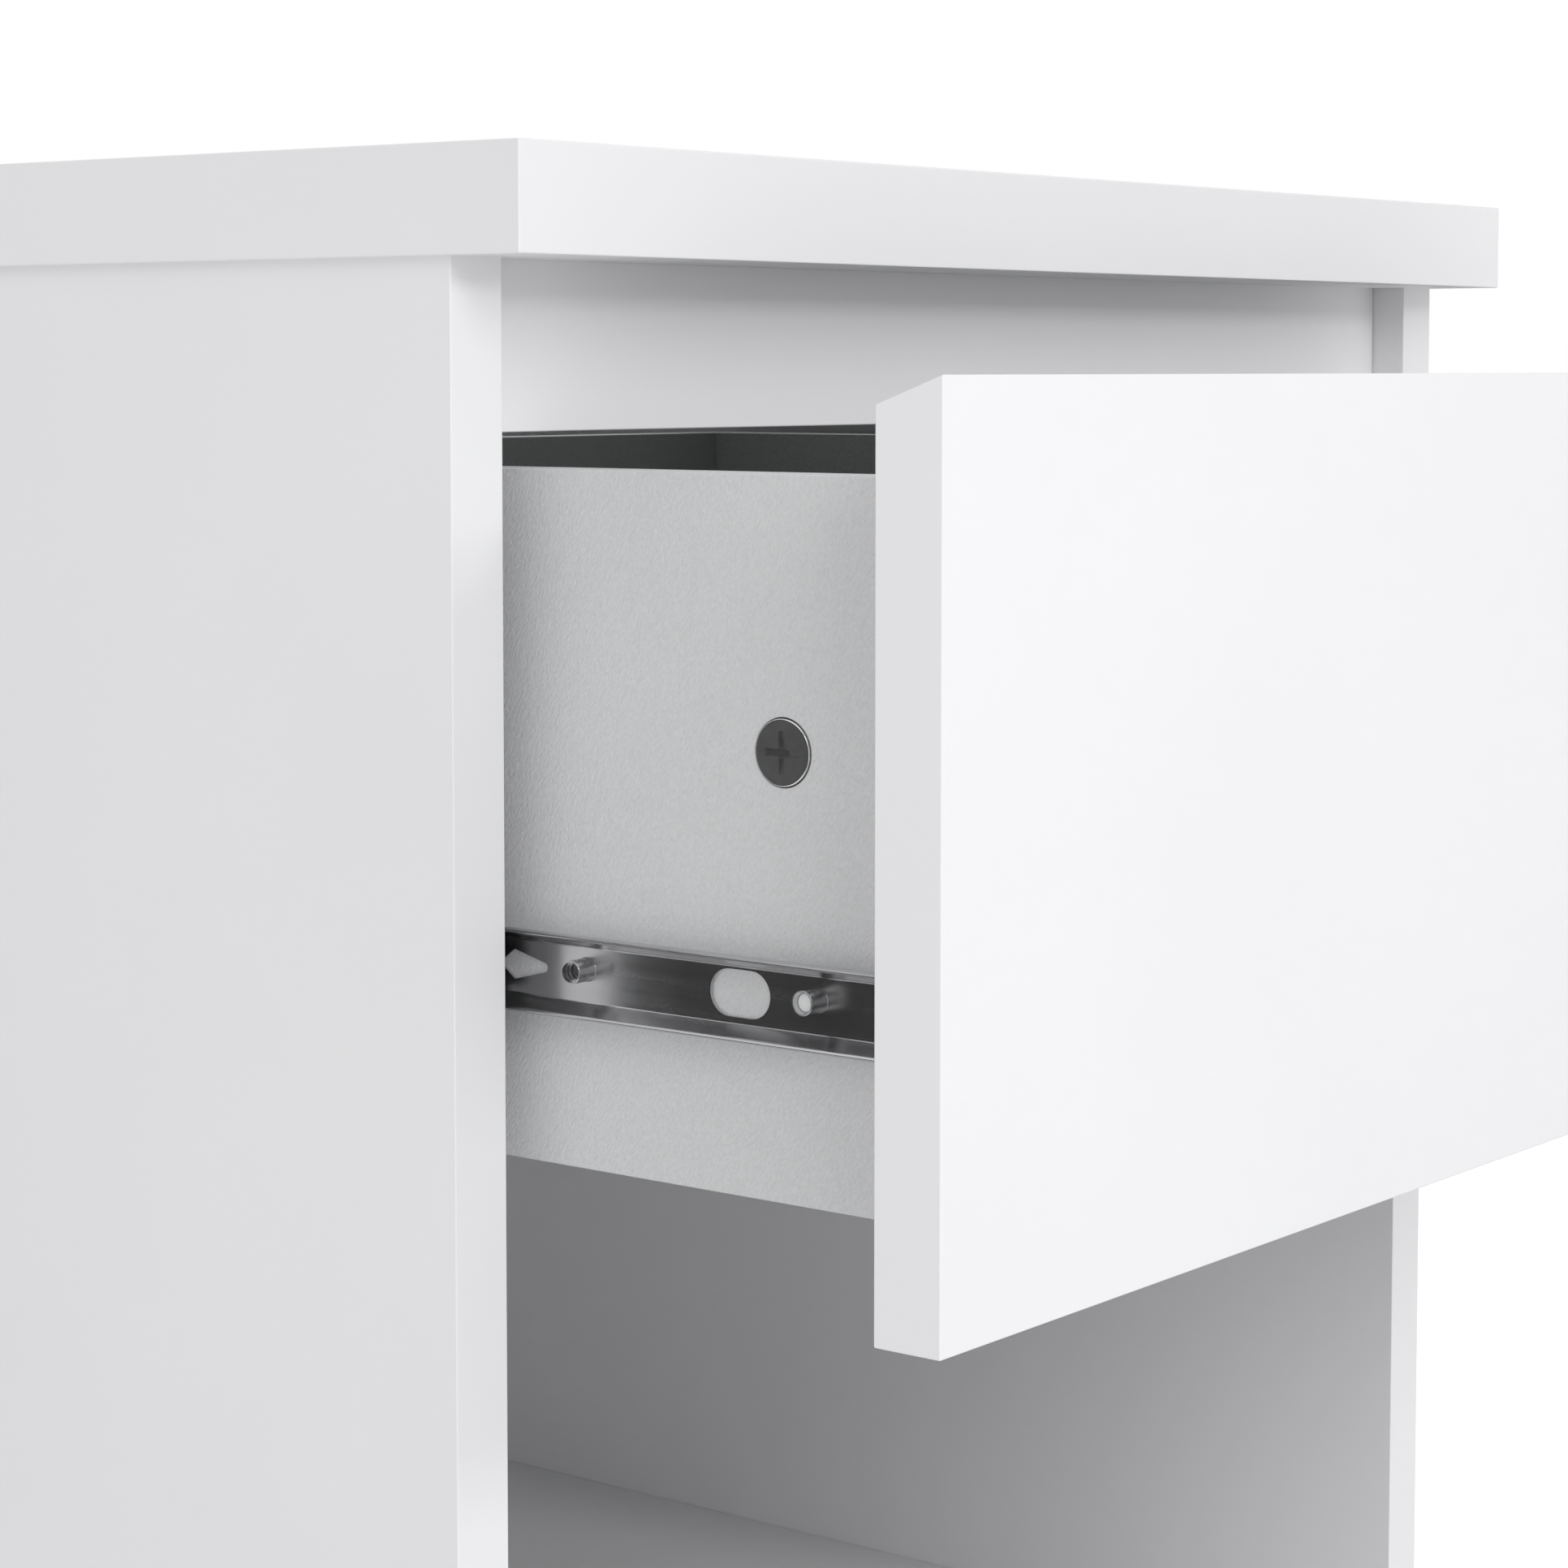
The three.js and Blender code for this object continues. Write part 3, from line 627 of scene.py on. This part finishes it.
def sheet_outline(line, thickness):
    """The outline of a strip of sheet that follows a centreline."""
    points = [Vector(p) for p in line]
    for end, other in ((0, 1), (-1, -2)):
        outward = (points[end] - points[other]).normalized()
        tip = points[end]
        points[end] = tip - outward * LIP
        points.insert(0 if end == 0 else len(points), tip)
    widths = [1.0] * len(points)
    widths[0] = widths[-1] = 1 - 2 * LIP / thickness
    offsets = []
    for i in range(len(points)):
        along = (points[min(i + 1, len(points) - 1)] - points[max(i - 1, 0)]).normalized()
        offsets.append(Vector((-along.y, along.x)) * thickness / 2 * widths[i])
    outer = [p + o for p, o in zip(points, offsets)]
    inner = [p - o for p, o in zip(points, offsets)]
    return [tuple(p) for p in outer + inner[::-1]]


def mirrored(half):
    return [(u, -w) for u, w in reversed(half)] + list(half)


def drawer_half():
    """Web, flare and ball race of the drawer member, from the middle up."""
    foot = 90 + FLARE
    slope = math.radians(FLARE)
    race = arc(BALL_U, RACE_W, RACE_RADIUS, foot, 45, 16)
    web = WEB_GAP + SHEET / 2
    bend = arc(web + BEND, 0, BEND, 180, foot, 10)
    run = race[0][0] - bend[-1][0]
    lift = race[0][1] - run * math.tan(slope) - bend[-1][1]
    return [(u, w + lift) for u, w in bend] + race


DRAWER_LINE = mirrored(drawer_half())
CABINET_LINE = mirrored([
    *arc(SLIDE_GAP - WEB_GAP - SHEET / 2 - BEND, INNER_HALF - SHEET / 2 - BEND, BEND, 0, 90, 10),
    (BALL_U - 1.4, INNER_HALF - SHEET / 2),
])


def slide_axes(s, y=0.0, w=0.0):
    """Local Z along U, local Y up, at y along the slide and w over its middle."""
    side_face = node_box("drawer_right_side")[1].x
    member_lo, member_hi = node_box("left_drawer_slide_member")
    middle_z = (member_lo.z + member_hi.z) / 2
    return axes_at((s * side_face, y, middle_z + w), (s, 0, 0), (0, 0, 1))


def channel(line, s, y0, y1):
    """A slide section drawn out along Y."""
    outline = sheet_outline(line, SHEET)
    origin = slide_axes(s).translation
    points = [(origin.x + s * u, origin.z + w) for u, w in outline]
    place = axes_at((0, 0, 0), (0, -1, 0), (0, 0, 1))
    return object_from("channel", prism_mesh(points, -y1, -y0, place))


def collar_profile(holds_pin):
    """A collar drawn up out of the web: a small round at its foot, a thin rim, and a bore that is
    stepped, or is a funnel down to the pin."""
    web = WEB_GAP + SHEET
    top = web + COLLAR_HEIGHT
    flare = []
    for a in range(0, 91, 6):
        angle = math.radians(a)
        out = COLLAR_FLARE * (1 - math.sin(angle))
        up = COLLAR_FLARE * (1 - math.cos(angle))
        flare.append((COLLAR_RADIUS + out, web + up))
    rim = [(COLLAR_RADIUS - inset, top - drop) for inset, drop in
           ((0, 0.1), (0.05, 0.03), (0.12, 0), (0.2, 0), (0.26, 0.04))]
    foot = WEB_GAP + 0.05
    if holds_pin:
        bore = [(2.15, top - 0.1), (1.85, top - 0.9), (1.83, top - 1.0), (1.83, foot)]
    else:
        bore = [(2.05, top - 0.5), (1.95, top - 1.1), (1.8, top - 1.15), (1.78, top - 1.9),
                (1.62, top - 1.95), (1.6, top - 2.9), (1.52, top - 2.95), (1.5, foot)]
    return [(COLLAR_RADIUS + COLLAR_FLARE, foot), *flare, *rim, *bore]


def obround_tool(s, y):
    radius = OBROUND["height"] / 2
    half = OBROUND["length"] / 2 - radius
    ends = arc(half, 0, radius, -90, 90, 20) + arc(-half, 0, radius, 90, 270, 20)
    place = axes_at((0, 0, 0), (s, 0, 0), (0, 0, 1))
    origin = slide_axes(s, y, HOLE_W)
    x_axis = (place.to_3x3() @ Vector((1, 0, 0))).y
    outline = [(x_axis * a, b) for a, b in ends]
    return object_from("tool", prism_mesh(outline, -1, 2, origin))


def arrow_tool(s, front):
    """The arrow-shaped hole: a kite with a rounded tip towards the front and a neck at the back."""
    tip, shoulder, neck, end = (ARROW[k] for k in ("tip", "shoulder", "neck", "end"))
    nose = [(tip + 1.0 - 1.0 * math.cos(math.radians(a)), 1.0 * math.sin(math.radians(a)))
            for a in range(-70, 71, 20)]
    outline = [*nose, (shoulder - 0.6, 2.9), (shoulder, 3.1), (shoulder + 0.5, 2.8), (neck, 0.9),
               (end, 0.9), (end, -0.9), (neck, -0.9), (shoulder + 0.5, -2.8), (shoulder, -3.1),
               (shoulder - 0.6, -2.9)]
    origin = slide_axes(s, front, HOLE_W)
    turn = origin.to_3x3() @ Vector((1, 0, 0))
    outline = [(turn.y * a, b) for a, b in outline]
    return object_from("tool", prism_mesh(outline, -1, 2, origin))


def build_drawer_member(side, s):
    node = f"{side}_drawer_slide_member"
    lo, hi = node_box(node)
    piece = channel(DRAWER_LINE, s, lo.y, hi.y)
    places = [slide_axes(s, lo.y + y, COLLAR_W) for y in COLLAR_FROM_FRONT]
    collars = [turned_tool(collar_profile(holds_pin), place, 64)
               for holds_pin, place in zip((False, True), places)]
    holes = [rod_tool(2.0, -1, 2, place) for place in places]
    screw_lo, screw_hi = node_box(f"{side}_drawer_slide_screw")
    screw_y = (screw_lo.y + screw_hi.y) / 2
    holes.append(rod_tool(1.9, -1, 2, slide_axes(s, screw_y)))
    combine(piece, [*holes, obround_tool(s, lo.y + OBROUND["from_front"]), arrow_tool(s, lo.y)])
    combine(piece, collars, "UNION")
    stops = stop_tabs(s, (hi.y - 2, hi.y), (6.0, SLIDE_HALF - 0.3))
    combine(piece, stops, "UNION")
    piece.name = "fine_" + node
    dress(piece, "drawer", STEEL, [node])


def stop_tabs(s, ys, ws):
    origin = slide_axes(s).translation
    us = sorted((origin.x + s * (BALL_U - 0.8), origin.x + s * (BALL_U + 0.6)))
    tabs = []
    for sign in (1, -1):
        zs = sorted((origin.z + sign * ws[0], origin.z + sign * ws[1]))
        tabs.append(box_tool((us[0], ys[0], zs[0]), (us[1], ys[1], zs[1])))
    return tabs


def build_cabinet_member(side, s):
    node = f"{side}_cabinet_slide_member"
    lo, hi = node_box(node)
    piece = channel(CABINET_LINE, s, lo.y, hi.y)
    holes = []
    for end in ENDS:
        screw_lo, screw_hi = node_box(f"{side}_cabinet_slide_screw_{end}")
        holes.append(rod_tool(1.9, 8, 11, slide_axes(s, (screw_lo.y + screw_hi.y) / 2)))
    combine(piece, holes)
    stops = stop_tabs(s, (lo.y, lo.y + 2), (INNER_HALF - 0.4, INNER_HALF + 1.7))
    combine(piece, stops, "UNION")
    piece.name = "fine_" + node
    dress(piece, "cabinet", STEEL, [node])


def build_ball_strip(side, edge):
    node = f"{side}_{edge}_ball_strip"
    lo, hi = node_box(node)
    middle = (lo + hi) / 2
    bm = box_mesh(
        (middle.x - STRIP_WIDTH / 2, lo.y, middle.z - STRIP_HEIGHT / 2),
        (middle.x + STRIP_WIDTH / 2, hi.y, middle.z + STRIP_HEIGHT / 2),
    )
    bmesh.ops.bevel(bm, geom=list(bm.edges), offset=0.12, segments=2, profile=0.5, affect="EDGES")
    strip = object_from("fine_" + node, bm)
    dress(strip, f"{side}_ball_strips", NYLON, [node])
    pitch = (hi.y - lo.y) / BALL_COUNT
    balls = bmesh.new()
    for i in range(BALL_COUNT):
        place = Matrix.Translation((middle.x, lo.y + pitch * (i + 0.5), middle.z))
        bmesh.ops.create_uvsphere(balls, u_segments=16, v_segments=10, radius=BALL_RADIUS, matrix=place)
    dress(object_from(f"{side}_{edge}_balls", balls), f"{side}_ball_strips", BALL_STEEL)


for side_name, sign in SIDES:
    build_drawer_member(side_name, sign)
    build_cabinet_member(side_name, sign)
    for edge_name in ("upper", "lower"):
        build_ball_strip(side_name, edge_name)


# ------------------------------------------------------------------ fittings
CAM_CHAMFER = 0.2
DRAWER_CAM_CHAMFER = 0.32
CROSS_WIDTH = 1.4


def cross_tools(arm, depth, place, width=CROSS_WIDTH):
    """Two crossed slots with sloping ends, and a round dimple in the middle."""
    half = width / 2
    flat = width * 0.7
    end = depth * 0.45
    outline = [(-arm, 1), (-arm, -end), (-flat, -depth), (flat, -depth), (arm, -end), (arm, 1)]
    quarter = Matrix.Rotation(math.pi / 2, 4, "Z")
    stand = Matrix.Rotation(math.pi / 2, 4, "X")
    slots = [object_from("tool", prism_mesh(outline, -half, half, place @ turn @ stand))
             for turn in (Matrix.Identity(4), quarter)]
    dimple = [(0, -depth * 1.3), (width * 0.82, -depth), (width * 0.89, 1), (0, 1)]
    return [*slots, turned_tool(dimple, place, 32)]


def build_cam(node, body, out, run, depth_axis, chamfer=CAM_CHAMFER):
    lo, hi = node_box(node)
    radius = (hi - lo)[(depth_axis + 1) % 3] / 2
    depth = (hi - lo)[depth_axis]
    face = (lo + hi) / 2 + Vector(out) * depth / 2
    place = axes_at(face, out, run)
    rounded = arc(radius - chamfer, -chamfer, chamfer, 0, 90, 4)
    profile = [(0, -depth), (radius - 0.2, -depth), (radius, -depth + 0.2), *rounded, (0, 0)]
    piece = object_from("fine_" + node, turned_mesh(profile, place, 72))
    combine(piece, cross_tools(radius * 0.64, 1.4, place))
    dress(piece, body, DARK_ZINC, [node], weighted=False)
    piece.data.materials.append(BRIGHT_RIM)
    inner = (radius - chamfer * 1.05) * MM
    centre = Vector(face) * MM
    direction = Vector(out)
    for polygon in piece.data.polygons:
        offset = polygon.center - centre
        height = offset.dot(direction)
        across = (offset - direction * height).length
        if across > inner:
            polygon.material_index = 1


for side_name, sign in SIDES:
    build_cam(f"drawer_{side_name}_cam", "drawer", (sign, 0, 0), (0, 0, 1), 0, DRAWER_CAM_CHAMFER)
    build_cam(f"rail_{side_name}_cam", "cabinet", (0, 1, 0), (0, 0, 1), 1)
    for end_name in ENDS:
        build_cam(f"top_{end_name}_{side_name}_cam", "cabinet", (-sign, 0, 0), (0, 0, 1), 0)
        build_cam(f"shelf_{end_name}_{side_name}_cam", "cabinet", (0, 0, -1), (0, 1, 0), 2)


def build_glide(node):
    lo, hi = node_box(node)
    middle = (lo + hi) / 2
    radius = (hi.x - lo.x) / 2
    place = axes_at((middle.x, middle.y, 0), (0, 0, 1), (0, 1, 0))
    rim = [(radius - 1 + math.sin(math.radians(a)), 1 - math.cos(math.radians(a))) for a in range(0, 91, 15)]
    profile = [(0, 0), *rim, (radius, 2.7), (radius - 0.3, 3), (1.1, 3), (1.1, 12), (0, 14)]
    piece = object_from("fine_" + node, turned_mesh(profile, place))
    dress(piece, "cabinet", NYLON, [node])


def build_pin(side, s):
    node = f"{side}_drawer_slide_pin"
    lo, hi = node_box(node)
    middle = (lo + hi) / 2
    length = (hi.x - lo.x) / 2
    place = axes_at(middle, (s, 0, 0), (0, 0, 1))
    profile = [(0, -length), (1.8, -length), (1.8, length - 0.1), (1.7, length), (0, length)]
    piece = object_from("fine_" + node, turned_mesh(profile, place, 32))
    dress(piece, "drawer", NYLON, [node])


SHANK = 1.6
THREAD = 0.35
PITCH = 1.1
DOME = 1.1
TIP = 3.5


def build_screw(node, body, s, sunk):
    """A round-headed or sunk screw with a cross recess and a threaded shank."""
    lo, hi = node_box(node)
    length = hi.x - lo.x
    head = (hi.z - lo.z) / 2
    if sunk:
        top = [(head - 0.15, 0), (head, -0.15), (head, -0.35), (SHANK, SHANK - head)]
    else:
        angles = [math.radians(a) for a in range(15, 91, 15)]
        dome = [(head * math.sin(a), DOME * (math.cos(a) - 1)) for a in angles]
        top = [*dome, (head, -1.6), (head - 0.1, -1.7), (SHANK, -1.7)]
    neck = top[-1][1]
    turns = int((length + neck - TIP) / PITCH)
    thread = []
    for i in range(turns):
        z = neck - 0.4 - i * PITCH
        thread += [(SHANK - THREAD, z), (SHANK, z - PITCH * 0.45), (SHANK - THREAD, z - PITCH * 0.9)]
    profile = [(0, 0), *top, *thread, (0, -length)]
    place = screw_place(node, s)
    piece = object_from("fine_" + node, turned_mesh(profile[::-1], place, 40))
    combine(piece, cross_tools(head * 0.55, 0.9, place, 0.8))
    dress(piece, body, FASTENER, [node], weighted=False)


for side_name, sign in SIDES:
    build_screw(f"{side_name}_drawer_slide_screw", "drawer", sign, False)
    for end_name in ENDS:
        build_screw(f"{side_name}_cabinet_slide_screw_{end_name}", "cabinet", -sign, False)
    for height_name in ("upper", "lower"):
        build_screw(f"drawer_back_screw_{height_name}_{side_name}", "drawer", sign, True)


for side_name, sign in SIDES:
    build_pin(side_name, sign)
    for end_name in ENDS:
        build_glide(f"{end_name}_{side_name}_glide")


# ------------------------------------------------------------------ CAD nodes that stay
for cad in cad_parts.values():
    if cad.hide_render:
        continue
    for material_slot in cad.material_slots:
        material_slot.material = FASTENER
